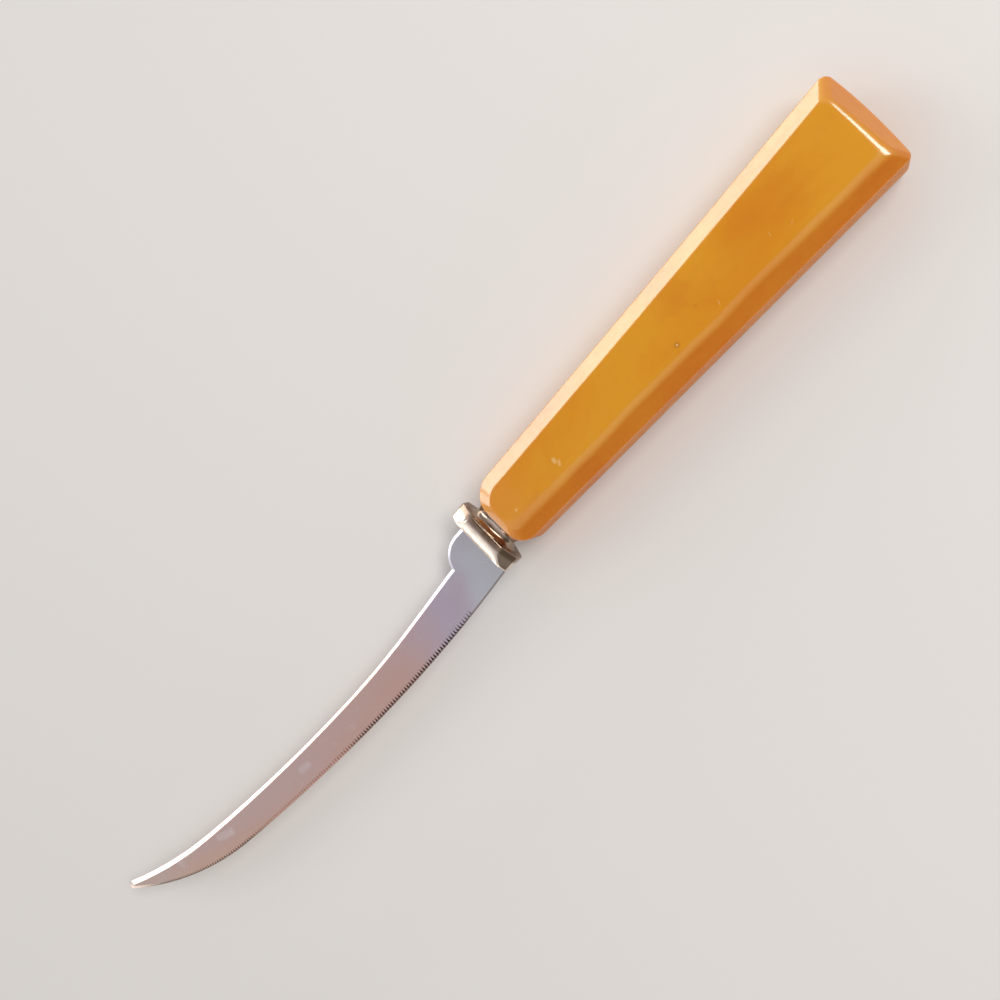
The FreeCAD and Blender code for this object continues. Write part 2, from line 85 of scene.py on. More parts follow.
def remap(tree, given, fromLow, fromHigh, toLow, toHigh, smooth=False):
    made = addNode(tree, "ShaderNodeMapRange", {}, {
        "Value": given, "From Min": fromLow, "From Max": fromHigh,
        "To Min": toLow, "To Max": toHigh,
    })
    if smooth:
        made.interpolation_type = "SMOOTHSTEP"
    return made.outputs["Result"]


def startMaterial(name):
    material = bpy.data.materials.new(name)
    material.use_nodes = True
    tree = material.node_tree
    tree.nodes.clear()
    surface = tree.nodes.new("ShaderNodeBsdfPrincipled")
    output = tree.nodes.new("ShaderNodeOutputMaterial")
    tree.links.new(surface.outputs["BSDF"], output.inputs["Surface"])
    place = addNode(tree, "ShaderNodeTexCoord").outputs["Object"]
    return material, tree, surface, place


def startGroup(name, inputs, outputs):
    group = bpy.data.node_groups.new(name, "ShaderNodeTree")
    for label, kind, value in inputs:
        socket = group.interface.new_socket(label, in_out="INPUT", socket_type=kind)
        if value is not None:
            socket.default_value = value
    for label, kind in outputs:
        group.interface.new_socket(label, in_out="OUTPUT", socket_type=kind)
    given = group.nodes.new("NodeGroupInput")
    result = group.nodes.new("NodeGroupOutput")
    return group, given.outputs, result.inputs


def useGroup(tree, group, **inputs):
    made = tree.nodes.new("ShaderNodeGroup")
    made.node_tree = group
    for name, given in inputs.items():
        feed(tree, made.inputs[name], given)
    return made.outputs


def meshObject(name, build):
    mesh = bpy.data.meshes.new(name)
    build.to_mesh(mesh)
    build.free()
    piece = bpy.data.objects.new(name, mesh)
    bpy.context.scene.collection.objects.link(piece)
    return piece


def evenShading(piece):
    for face in piece.data.polygons:
        face.use_smooth = True
    weighted = piece.modifiers.new("evenShading", "WEIGHTED_NORMAL")
    weighted.weight = 100
    weighted.keep_sharp = True


# Shader groups that more than one material uses

def buildCloudyPatches():
    # Soft patches: 0 outside, 1 inside, with a wandering outline
    group, given, result = startGroup(
        "cloudyPatches",
        [
            ("Place", "NodeSocketVector", None),
            ("Scale", "NodeSocketFloat", 100.0),
            ("Low", "NodeSocketFloat", 0.4),
            ("High", "NodeSocketFloat", 0.6),
            ("Distortion", "NodeSocketFloat", 0.5),
        ],
        [("Mask", "NodeSocketFloat")],
    )
    noise = addNode(group, "ShaderNodeTexNoise", {}, {
        "Vector": given["Place"], "Scale": given["Scale"], "Detail": 3.0,
        "Roughness": 0.5, "Distortion": given["Distortion"],
    })
    mask = remap(group, noise.outputs["Fac"], given["Low"], given["High"], 0.0, 1.0, True)
    group.links.new(mask, result["Mask"])
    return group


def buildHairScratches():
    # Fine scratches along the stretched direction of Place, 1 on a scratch
    group, given, result = startGroup(
        "hairScratches",
        [
            ("Place", "NodeSocketVector", None),
            ("Scale", "NodeSocketFloat", 1.0),
            ("Low", "NodeSocketFloat", 0.56),
            ("High", "NodeSocketFloat", 0.72),
        ],
        [("Mask", "NodeSocketFloat")],
    )
    fine = addNode(group, "ShaderNodeTexNoise", {}, {
        "Vector": given["Place"], "Scale": given["Scale"], "Detail": 4.0, "Roughness": 0.6,
    })
    ridge = remap(group, fine.outputs["Fac"], given["Low"], given["High"], 0.0, 1.0)
    group.links.new(ridge, result["Mask"])
    return group


def buildStrokeMark():
    # A short stroke from Start along Along: 1 on its line, fading to 0 at Width
    group, given, result = startGroup(
        "strokeMark",
        [
            ("Place", "NodeSocketVector", None),
            ("Start", "NodeSocketVector", None),
            ("Along", "NodeSocketVector", None),
            ("Length", "NodeSocketFloat", 0.001),
            ("Width", "NodeSocketFloat", 0.0005),
        ],
        [("Mask", "NodeSocketFloat")],
    )
    offset = addNode(group, "ShaderNodeVectorMath", {"operation": "SUBTRACT"}, {
        0: given["Place"], 1: given["Start"]}).outputs["Vector"]
    reach = addNode(group, "ShaderNodeVectorMath", {"operation": "DOT_PRODUCT"}, {
        0: offset, 1: given["Along"]}).outputs["Value"]
    reach = sums(group, "MINIMUM", sums(group, "MAXIMUM", reach, 0.0), given["Length"])
    nearest = addNode(group, "ShaderNodeVectorMath", {"operation": "SCALE"}, {
        0: given["Along"], "Scale": reach}).outputs["Vector"]
    away = addNode(group, "ShaderNodeVectorMath", {"operation": "DISTANCE"}, {
        0: offset, 1: nearest}).outputs["Value"]
    group.links.new(remap(group, away, 0.0, given["Width"], 1.0, 0.0, True), result["Mask"])
    return group


cloudyPatches = buildCloudyPatches()
hairScratches = buildHairScratches()
strokeMark = buildStrokeMark()


def strokeMask(tree, place, height, start, heading, length, width):
    # One stroke on the face at this height, typed in millimetres
    return useGroup(tree, strokeMark, Place=place, Length=length * mm, Width=width * mm,
                    Start=(start[0] * mm, start[1] * mm, height),
                    Along=(heading[0], heading[1], 0.0))["Mask"]


print("groups built")


# Outlines with rounded corners

def roundedLoop(corners, radii, arcSteps, sideSteps):
    # Closed loop round the corners, turning left, with the same count of points for any size
    arcs = []
    for index, corner in enumerate(corners):
        before = (corners[index - 1] - corner).normalized()
        after = (corners[(index + 1) % len(corners)] - corner).normalized()
        angle = before.angle(after)
        reach = radii[index] / math.tan(angle / 2)
        middle = corner + (before + after).normalized() * radii[index] / math.sin(angle / 2)
        arc = []
        for step in range(arcSteps + 1):
            spoke = corner + before * reach - middle
            spoke.rotate(Matrix.Rotation((math.pi - angle) * step / arcSteps, 2))
            arc.append(middle + spoke)
        arcs.append(arc)
    loop = []
    for index, arc in enumerate(arcs):
        loop += arc
        there = arcs[(index + 1) % len(arcs)][0]
        steps = sideSteps[index]
        loop += [arc[-1].lerp(there, step / steps) for step in range(1, steps)]
    return loop


def bandBetween(build, first, second):
    count = len(first)
    for index in range(count):
        other = (index + 1) % count
        build.faces.new((first[index], first[other], second[other], second[index]))


# Handle: one slab of cast resin, bevelled along both sides and across the butt

handleLow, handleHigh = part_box("handle")
handleLook = {
    "frontWidth": 13.8,
    "buttWidth": 19.56,
    "buttBow": 0.5,
    "buttSkew": (-0.85, 0.25),
    # Width and depth of each bevel and the round between it and the flat face
    "edgeBevel": (3.0, 2.2, 4.2),
    "buttEdgeBevel": (2.0, 2.2, 3.4),
    "buttSpineBevel": (3.3, 2.2, 1.6),
    "spineBevel": (3.0, 2.2, 0.6),
    "frontBevel": (1.4, 0.8, 0.6),
    # Rounds in plan, at the side wall and at the flat face
    "frontEdgeCorner": (3.2, 2.6),
    "buttEdgeCorner": (1.1, 1.2),
    "buttSpineCorner": (1.4, 1.6),
    "frontSpineCorner": (4.8, 3.4),
    "outerRound": 0.45,
    # Hollow of each long side, also at the side wall and at the flat face
    "spineHollow": (0.12, 0.3),
    "edgeHollow": (0.0, 0.5),
    "waveHeight": 0.1,
    # Rate in radians, shift and share of each wave along the cutting side
    "waves": [(19.0, 1.0, 1.0), (41.0, 0.0, 0.6)],
    # How far up the side wall its middle band goes, and how far inside its round the flat face starts
    "wallShare": 0.9,
    "flatMargin": 0.15,
    "arcSteps": 16,
    "sideSteps": [90, 30, 90, 30],
    "roundSteps": 8,
    "amber": (0.735, 0.285, 0.007, 1.0),
    "paleAmber": (0.780, 0.360, 0.016, 1.0),
    # Deep amber for random patches and for the painted shade on faces slanting away from the window
    "deepAmber": (0.610, 0.128, 0.002, 1.0),
    "broadPatches": {"Scale": 60.0, "Low": 0.36, "High": 0.66, "Distortion": 0.8},
    "deepPatches": {"Scale": 95.0, "Low": 0.48, "High": 0.78, "Distortion": 0.9},
    "finePatches": {"Scale": 480.0, "Low": 0.42, "High": 0.72, "Distortion": 1.0},
    "hairLines": {"Scale": 2.0, "Low": 0.6, "High": 0.75},
    "bump": {"Strength": 0.5, "Distance": 0.00018},
    "markLight": (0.95, 0.72, 0.38, 1.0),
    "markDark": (0.36, 0.12, 0.01, 1.0),
    "roughness": 0.17,
    "resin": {
        "IOR": 1.56,
        "Coat IOR": 1.55,
        "Coat Roughness": 0.07,
        "Subsurface Weight": 0.3,
        "Subsurface Radius": (1.0, 0.4, 0.08),
        "Subsurface Scale": 0.0015,
    },
    # Start, direction, length, width and strength of each mark on the upper face
    "lightMarks": [
        ((58.8, -2.9), (1.0, 0.0), 0.0, 0.30, 0.9),
        ((30.2, -0.5), (-0.2, -0.98), 0.5, 0.55, 0.50),
        ((30.7, -1.4), (-0.5, -0.87), 0.6, 0.45, 0.42),
        ((18.9, -1.7), (1.0, 0.0), 0.2, 0.38, 0.38),
        ((68.2, -3.5), (0.4, 0.92), 0.7, 0.16, 0.30),
        ((81.2, -2.1), (0.3, 0.95), 0.8, 0.14, 0.22),
        ((84.6, -3.3), (0.8, 0.6), 0.7, 0.14, 0.20),
    ],
    "darkMarks": [
        ((58.8, -2.9), (1.0, 0.0), 0.0, 0.75, 0.75),
        ((65.4, -0.7), (1.0, 0.0), 0.1, 0.32, 0.35),
    ],
}


def bevelProfile(bevel, half):
    # Inset and height from the middle of the side wall up to the flat face
    width, depth, inner = bevel
    outer = handleLook["outerRound"]
    steps = handleLook["roundSteps"]
    slope = math.atan2(depth, width)
    turn = math.pi / 2 - slope
    reach = outer * math.tan(turn / 2)
    rows = [(0.0, 0.0), (0.0, (half - depth - reach) * handleLook["wallShare"])]
    for step in range(steps + 1):
        angle = turn * step / steps
        inset = outer - outer * math.cos(angle)
        rows.append((inset, half - depth - reach + outer * math.sin(angle)))
    reach = inner * math.tan(slope / 2)
    for step in range(steps + 1):
        angle = slope * (1 - step / steps)
        rows.append((width + reach - inner * math.sin(angle), half - inner + inner * math.cos(angle)))
    rows.append((width + reach + handleLook["flatMargin"], half))
    return rows


def handleRing(profiles, row):
    # Points and heights of one ring, from the front corner of the cutting side onwards
    look = handleLook
    length = (handleHigh.x - handleLow.x) / mm
    taper = (look["buttWidth"] - look["frontWidth"]) / 2 / (length - look["buttBow"])
    inset = {name: profile[row][0] for name, profile in profiles.items()}
    height = {name: profile[row][1] for name, profile in profiles.items()}

    def corner(end, side, sign):
        along = inset["frontBevel"] if end == "frontBevel" else length - look["buttBow"] - inset[end]
        across = sign * (look["frontWidth"] / 2 + taper * along - inset[side])
        if end != "frontBevel":
            along += look["buttSkew"][0 if sign < 0 else 1]
        return Vector((along, across))

    corners = [
        corner("frontBevel", "edgeBevel", -1),
        corner("buttEdgeBevel", "edgeBevel", -1),
        corner("buttSpineBevel", "spineBevel", 1),
        corner("frontBevel", "spineBevel", 1),
    ]
    share = min(1.0, inset["spineBevel"] / look["spineBevel"][0])

    def blended(pair):
        return pair[0] + (pair[1] - pair[0]) * share

    radii = [blended(look[name]) for name in (
        "frontEdgeCorner", "buttEdgeCorner", "buttSpineCorner", "frontSpineCorner")]
    loop = roundedLoop(corners, radii, look["arcSteps"], look["sideSteps"])
    shaped = []
    for point in loop:
        along = min(max(point.x / length, 0.0), 1.0)
        half = look["frontWidth"] / 2 + taper * point.x
        hollow = blended(look["spineHollow"] if point.y > 0 else look["edgeHollow"])
        across = point.y * (1 - hollow * math.sin(math.pi * along) / half)
        if point.y < 0:
            wave = sum(part * math.sin(along * rate + shift) for rate, shift, part in look["waves"])
            across += look["waveHeight"] * share * wave * math.sin(math.pi * along)
        bow = look["buttBow"] * (1 - (point.y / half) ** 2) * along ** 12
        shaped.append(Vector((point.x + bow, across)))
    return list(zip(shaped, ringHeights(height)))


def ringHeights(height):
    # Level along each side, blended round the corners and along the butt
    look = handleLook
    ends = [("edgeBevel", "edgeBevel"), ("buttEdgeBevel", "buttSpineBevel"),
            ("spineBevel", "spineBevel"), ("frontBevel", "frontBevel")]
    heights = []
    for index, (first, last) in enumerate(ends):
        before = height[ends[index - 1][1]]
        for step in range(look["arcSteps"] + 1):
            turned = step / look["arcSteps"]
            turned = turned * turned * (3 - 2 * turned)
            heights.append(before + (height[first] - before) * turned)
        steps = look["sideSteps"][index]
        heights += [height[first] + (height[last] - height[first]) * step / steps
                    for step in range(1, steps)]
    return heights


def buildHandle():
    look = handleLook
    half = (handleHigh.z - handleLow.z) / 2 / mm
    middleZ = (handleLow.z + handleHigh.z) / 2
    names = ("edgeBevel", "buttEdgeBevel", "buttSpineBevel", "spineBevel", "frontBevel")
    profiles = {name: bevelProfile(look[name], half) for name in names}
    build = bmesh.new()

    def ring(row, side):
        return [build.verts.new((handleLow.x + point.x * mm, point.y * mm,
                                 middleZ + side * height * mm))
                for point, height in handleRing(profiles, row)]

    middleRing = ring(0, 1)
    for side in (1, -1):
        rings = [middleRing] + [ring(row, side) for row in range(1, len(profiles["edgeBevel"]))]
        for below, above in zip(rings, rings[1:]):
            bandBetween(build, below, above)
        build.faces.new(rings[-1])
    bmesh.ops.recalc_face_normals(build, faces=build.faces)
    return meshObject("amber_handle", build)


def handleMarks(tree, place, marks):
    shown = 0.0
    for start, heading, length, width, strength in marks:
        mask = strokeMask(tree, place, handleHigh.z, start, heading, length, width)
        shown = sums(tree, "MAXIMUM", sums(tree, "MULTIPLY", mask, strength), shown)
    return shown


def handleMaterial():
    look = handleLook
    material, tree, surface, place = startMaterial("amberResin")
    stretched = addNode(tree, "ShaderNodeMapping", {}, {
        "Vector": place, "Scale": (0.55, 1.0, 1.0)}).outputs["Vector"]
    broad = useGroup(tree, cloudyPatches, Place=stretched, **look["broadPatches"])["Mask"]
    deep = useGroup(tree, cloudyPatches, Place=stretched, **look["deepPatches"])["Mask"]
    fine = useGroup(tree, cloudyPatches, Place=place, **look["finePatches"])["Mask"]
    colour = mixColours(tree, sums(tree, "MULTIPLY", broad, 0.8), look["amber"], look["paleAmber"])
    # Painted shade: the resin is darkened towards deep amber where it slants away from the window, on
    # the cutting side and the butt
    normal = addNode(tree, "ShaderNodeTexCoord").outputs["Normal"]
    facing = addNode(tree, "ShaderNodeSeparateXYZ", {}, {"Vector": normal}).outputs
    upright = sums(tree, "ABSOLUTE", facing["Z"])
    away = sums(tree, "MAXIMUM", remap(tree, facing["Y"], 0.1, -0.3, 0.0, 1.0, True),
                remap(tree, facing["X"], 0.1, 0.4, 0.0, 0.8, True))
    slanted = sums(tree, "MULTIPLY", remap(tree, upright, 0.985, 0.82, 0.0, 0.6, True), away)
    # depth holds the random deep patches and the painted shade of the slanted faces
    depth = sums(tree, "MULTIPLY_ADD", deep, 0.26, slanted)
    depth = sums(tree, "MULTIPLY_ADD", fine, 0.05, depth)
    colour = mixColours(tree, depth, colour, look["deepAmber"])
    light = handleMarks(tree, place, look["lightMarks"])
    colour = mixColours(tree, handleMarks(tree, place, look["darkMarks"]), colour, look["markDark"])
    colour = mixColours(tree, light, colour, look["markLight"])
    tree.links.new(colour, surface.inputs["Base Color"])
    scratchPlace = addNode(tree, "ShaderNodeMapping", {}, {
        "Vector": place, "Rotation": (0.0, 0.0, 0.5), "Scale": (40.0, 900.0, 900.0)})
    scratches = useGroup(tree, hairScratches, Place=scratchPlace.outputs["Vector"],
                         **look["hairLines"])["Mask"]
    wave = addNode(tree, "ShaderNodeTexNoise", {}, {"Vector": place, "Scale": 75.0, "Detail": 1.0})
    height = sums(tree, "MULTIPLY_ADD", scratches, 0.012, wave.outputs["Fac"])
    height = sums(tree, "MULTIPLY_ADD", light, 0.03, height)
    bump = addNode(tree, "ShaderNodeBump", {}, {**look["bump"], "Height": height})
    tree.links.new(bump.outputs["Normal"], surface.inputs["Normal"])
    tree.links.new(bump.outputs["Normal"], surface.inputs["Coat Normal"])
    # The flat side walls are duller than the polished faces and bevels
    wall = remap(tree, upright, 0.45, 0.15, 0.0, 1.0, True)
    tree.links.new(remap(tree, wall, 0.0, 1.0, 1.0, 0.06), surface.inputs["Coat Weight"])
    roughness = remap(tree, fine, 0.0, 1.0, look["roughness"], look["roughness"] + 0.06)
    roughness = sums(tree, "MULTIPLY_ADD", wall, 0.35, roughness)
    tree.links.new(roughness, surface.inputs["Roughness"])
    for name, value in look["resin"].items():
        surface.inputs[name].default_value = value
    return material


handle = buildHandle()
evenShading(handle)
handle.data.materials.append(handleMaterial())
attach(handle, "root")
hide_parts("handle")
print("handle built")


# Bolster: thick faceted flange, hollow waist and thin rear rim, polished plating

bolsterLow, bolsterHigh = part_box("bolster")
bolsterLook = {
    "flangeLength": 3.7,
    "endBevel": (3.3, 2.4),
    "slant": (2.25, 1.4),
    "slantBulge": 0.07,
    "slantRound": 9.0,
    "crestRound": 0.6,
    "frontEdgeRound": 0.3,
    "rearEdgeRound": 0.3,
    "endRound": 0.3,
    "endBlend": 0.35,
    "leastSlant": 0.3,
    # The waist widens to both ends and begins inside the flange
    "waistWidth": 9.4,
    "waistHeight": 5.4,
    "waistOverlap": 0.8,
    "flare": 0.9,
    "rimFlare": 0.35,
    "rimWidth": 10.7,
    "rimHeight": 6.8,
    "rimLength": 0.6,
    "rimRound": 0.22,
    "plating": (0.80, 0.71, 0.62, 1.0),
    # Painted shade and dark reflection for the hollows, also some tarnish in random dull patches
    "shadeAndTarnish": (0.20, 0.11, 0.06, 1.0),
    "dullPatches": {"Scale": 420.0, "Low": 0.48, "High": 0.72, "Distortion": 0.8},
    "hairLines": {"Scale": 3.0, "Low": 0.56, "High": 0.72},
    "bump": {"Strength": 0.35, "Distance": 0.00006},
    "roughness": 0.08,
    "roundSteps": 6,
    "sideSteps": [10, 3, 3, 3, 12, 3, 3, 3],
    "acrossSteps": 60,
    "waistSteps": 18,
    "aroundSteps": 96,
}


def buildFlange():
    # Sections across the knife's length, each cut down by the bevels at the two ends
    look = bolsterLook
    halfWidth = bolsterHigh.y / mm
    halfHeight = (bolsterHigh.z - bolsterLow.z) / 2 / mm
    middleZ = (bolsterLow.z + bolsterHigh.z) / 2
    length = look["flangeLength"]
    wide, high = look["endBevel"]
    back, drop = look["slant"]
    build = bmesh.new()

    def section(across, inset):
        bevelled = halfHeight - high + (halfWidth - abs(across)) * high / wide
        blend = math.hypot(halfHeight - bevelled, look["endBlend"])
        top = (halfHeight + bevelled - blend) / 2 - inset
        room = max(0.0, min(1.0, (top - (halfHeight - drop)) / drop))
        crest = back * room + look["frontEdgeRound"] * (1 - room) + inset
        front = min(top - look["leastSlant"], halfHeight - drop - inset)
        bulge = look["slantBulge"] * room
        middle = ((crest + inset) / 2 - bulge, (top + front) / 2 + bulge)
        corners = [(inset, front), (inset, -front), (middle[0], -middle[1]), (crest, -top),
                   (length - inset, -top), (length - inset, top), (crest, top), middle]
        edgeRound, rearRound = look["frontEdgeRound"], look["rearEdgeRound"]
        crestRound = edgeRound + (look["crestRound"] - edgeRound) * room
        slantRound = edgeRound + (look["slantRound"] - edgeRound) * room
        radii = [edgeRound, edgeRound, slantRound, crestRound, rearRound, rearRound, crestRound,
                 slantRound]
        loop = roundedLoop([Vector(corner) for corner in corners], radii, look["roundSteps"],
                           look["sideSteps"])
        return [build.verts.new((bolsterLow.x + point.x * mm, across * mm, middleZ + point.y * mm))
                for point in loop]

    edge = look["endRound"]
    places = []
    for step in range(look["roundSteps"]):
        angle = math.pi / 2 * step / look["roundSteps"]
        places.append((halfWidth - edge + edge * math.cos(angle), edge - edge * math.sin(angle)))
    inner = halfWidth - edge
    steps = look["acrossSteps"]
    middle = [(inner * (1 - 2 * step / steps), 0.0) for step in range(steps + 1)]
    stations = places + middle + [(-across, inset) for across, inset in reversed(places)]
    rings = [section(across, inset) for across, inset in stations]
    for first, second in zip(rings, rings[1:]):
        bandBetween(build, first, second)
    build.faces.new(rings[0])
    build.faces.new(rings[-1])
    bmesh.ops.recalc_face_normals(build, faces=build.faces)
    return meshObject("bolster_flange", build)


def buildWaist():
    look = bolsterLook
    build = bmesh.new()
    middleZ = (bolsterLow.z + bolsterHigh.z) / 2
    total = (bolsterHigh.x - bolsterLow.x) / mm
    rimFront = total - look["rimLength"]
    start = look["flangeLength"] - look["waistOverlap"]
    # Stations: offset added to the waist's half sizes
    rows = [(start, look["flare"], 0.0)]
    steps = look["waistSteps"]
    for step in range(steps + 1):
        share = step / steps
        station = look["flangeLength"] + (rimFront - look["flangeLength"]) * share
        bend = (2 * share - 1) ** 2
        grow = bend * (look["flare"] if share < 0.5 else look["rimFlare"])
        rows.append((station, grow, 0.0))
    edge = look["rimRound"]
    angles = [math.pi / 2 * step / look["roundSteps"] for step in range(look["roundSteps"] + 1)]
    for angle in angles:
        rows.append((rimFront + edge - edge * math.cos(angle), None, edge * math.sin(angle) - edge))
    for angle in angles:
        rows.append((total - edge + edge * math.sin(angle), None, edge * math.cos(angle) - edge))
    around = look["aroundSteps"]
    rings = []
    for station, grow, trim in rows:
        if grow is None:
            halfAcross = look["rimWidth"] / 2 + trim
            halfUp = look["rimHeight"] / 2 + trim
        else:
            halfAcross = look["waistWidth"] / 2 + grow
            halfUp = look["waistHeight"] / 2 + grow
        ring = []
        for step in range(around):
            angle = 2 * math.pi * step / around
            ring.append(build.verts.new((
                bolsterLow.x + station * mm,
                halfAcross * math.cos(angle) * mm,
                middleZ + halfUp * math.sin(angle) * mm,
            )))
        rings.append(ring)
    for first, second in zip(rings, rings[1:]):
        bandBetween(build, first, second)
    build.faces.new(rings[0][::-1])
    build.faces.new(rings[-1])
    bmesh.ops.recalc_face_normals(build, faces=build.faces)
    return meshObject("bolster_waist", build)


def buildBolster():
    flange = buildFlange()
    waist = buildWaist()
    join = flange.modifiers.new("join", "BOOLEAN")
    join.operation = "UNION"
    join.solver = "EXACT"
    join.object = waist
    evaluated = flange.evaluated_get(bpy.context.evaluated_depsgraph_get())
    mesh = bpy.data.meshes.new_from_object(evaluated)
    piece = bpy.data.objects.new("plated_bolster", mesh)
    bpy.context.scene.collection.objects.link(piece)
    bpy.data.objects.remove(flange)
    bpy.data.objects.remove(waist)
    return piece


def bolsterMaterial():
    look = bolsterLook
    material, tree, surface, place = startMaterial("polishedPlating")
    patches = useGroup(tree, cloudyPatches, Place=place, **look["dullPatches"])["Mask"]
    # Painted shade and dark reflection: darker and browner behind the crest of the flange and in the
    # hollow waist; random dull patches add some tarnish
    along = addNode(tree, "ShaderNodeSeparateXYZ", {}, {"Vector": place}).outputs["X"]
    crest = bolsterLow.x + look["slant"][0] * mm
    rim = bolsterHigh.x - look["rimLength"] * mm
    behindCrest = remap(tree, along, crest - 0.2 * mm, crest + 0.5 * mm, 0.0, 1.0, True)
    beforeRim = remap(tree, along, rim - 1.2 * mm, rim - 0.2 * mm, 1.0, 0.0, True)
    hollow = sums(tree, "MULTIPLY", behindCrest, beforeRim)
    shade = sums(tree, "MULTIPLY_ADD", hollow, 0.74, sums(tree, "MULTIPLY", patches, 0.2))
    colour = mixColours(tree, shade, look["plating"], look["shadeAndTarnish"])
    tree.links.new(colour, surface.inputs["Base Color"])
    scratchPlace = addNode(tree, "ShaderNodeMapping", {}, {
        "Vector": place, "Scale": (900.0, 60.0, 500.0)})
    scratches = useGroup(tree, hairScratches, Place=scratchPlace.outputs["Vector"],
                         **look["hairLines"])["Mask"]
    dents = addNode(tree, "ShaderNodeTexNoise", {}, {"Vector": place, "Scale": 520.0, "Detail": 1.0})
    height = sums(tree, "MULTIPLY_ADD", scratches, 0.03, dents.outputs["Fac"])
    bump = addNode(tree, "ShaderNodeBump", {}, {**look["bump"], "Height": height})
    tree.links.new(bump.outputs["Normal"], surface.inputs["Normal"])
    roughness = sums(tree, "MULTIPLY_ADD", shade, 0.16, look["roughness"])
    tree.links.new(roughness, surface.inputs["Roughness"])
    surface.inputs["Metallic"].default_value = 1.0
    return material


bolster = buildBolster()
evenShading(bolster)
bolster.data.materials.clear()
bolster.data.materials.append(bolsterMaterial())
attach(bolster, "root")
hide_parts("bolster")
print("bolster built")


# Blade: the steel sheet as it comes, with a satin finish, dried water marks and painted reflection and
# shade

bladeLow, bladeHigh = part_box("blade")
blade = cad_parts["blade"]
bladeLook = {
    # Colour of the steel with its painted reflection at stations along the blade, from the tip
    "steelAndReflection": [
        (-103.0, (0.690, 0.570, 0.490, 1.0)),
        (-80.0, (0.725, 0.510, 0.415, 1.0)),
        (-35.0, (0.715, 0.495, 0.430, 1.0)),
        (-8.0, (0.640, 0.570, 0.690, 1.0)),
        (5.0, (0.710, 0.760, 0.850, 1.0)),
    ],
    # Painted shade and reflection towards the spine
    "spineShade": (0.640, 0.550, 0.560, 1.0),
    "stain": (0.82, 0.76, 0.76, 1.0),
    # Painted shade in the ground flutes, with some grime
    "fluteShadeAndGrime": (0.17, 0.12, 0.09, 1.0),
    # Start, direction, length, width and strength of each dried splash
    "splashes": [
        ((-51.0, -4.6), (-0.996, 0.09), 1.8, 1.5, 0.42),
        ((-75.4, -2.4), (-0.96, 0.28), 3.4, 1.7, 0.45),
        ((-86.5, 1.5), (-0.935, 0.355), 7.5, 1.2, 0.32),
    ],
    "waterPatches": {"Scale": 125.0, "Low": 0.60, "High": 0.70, "Distortion": 0.4},
    "hairLines": {"Scale": 2.0, "Low": 0.56, "High": 0.72},
    "bump": {"Strength": 0.08, "Distance": 0.00002},
    "roughness": 0.27,
}


def bladeMiddle(station):
    # Middle of the blade's width at a station along it
    reach = 2.0 * mm
    across = [vertex.co.y for vertex in blade.data.vertices if abs(vertex.co.x - station) < reach]
    return (min(across) + max(across)) / 2


def acrossBlade(tree, place):
    # Distance from the blade's middle line, which bends up to the tip along a parabola
    tipX, rootX = bladeLow.x + 8.0 * mm, -20.0 * mm
    halfway = (tipX + rootX) / 2
    tipY, halfY, rootY = bladeMiddle(tipX), bladeMiddle(halfway), bladeMiddle(rootX)
    split = addNode(tree, "ShaderNodeSeparateXYZ", {}, {"Vector": place}).outputs
    step = sums(tree, "DIVIDE", sums(tree, "SUBTRACT", rootX, split["X"]), rootX - halfway)
    step = sums(tree, "MAXIMUM", step, 0.0)
    bend = (tipY - 2 * halfY + rootY) / 2
    middle = sums(tree, "MULTIPLY_ADD", step, bend, halfY - rootY - bend)
    middle = sums(tree, "MULTIPLY_ADD", middle, step, rootY)
    return sums(tree, "SUBTRACT", split["Y"], middle)


def steelAndReflectionColour(tree, along):
    start, colour = bladeLook["steelAndReflection"][0]
    for station, steelAndReflection in bladeLook["steelAndReflection"][1:]:
        share = remap(tree, along, start * mm, station * mm, 0.0, 1.0, True)
        colour = mixColours(tree, share, colour, steelAndReflection)
        start = station
    return colour


def driedSplashes(tree, place, patches):
    ragged = addNode(tree, "ShaderNodeTexNoise", {}, {
        "Vector": place, "Scale": 380.0, "Detail": 5.0, "Roughness": 0.7}).outputs["Fac"]
    shown = sums(tree, "MULTIPLY", patches, 0.4)
    for start, heading, length, width, strength in bladeLook["splashes"]:
        splash = strokeMask(tree, place, bladeHigh.z, start, heading, length, width)
        splash = remap(tree, sums(tree, "MULTIPLY", splash, ragged), 0.06, 0.50, 0.0, strength, True)
        shown = sums(tree, "MAXIMUM", shown, splash)
    return shown


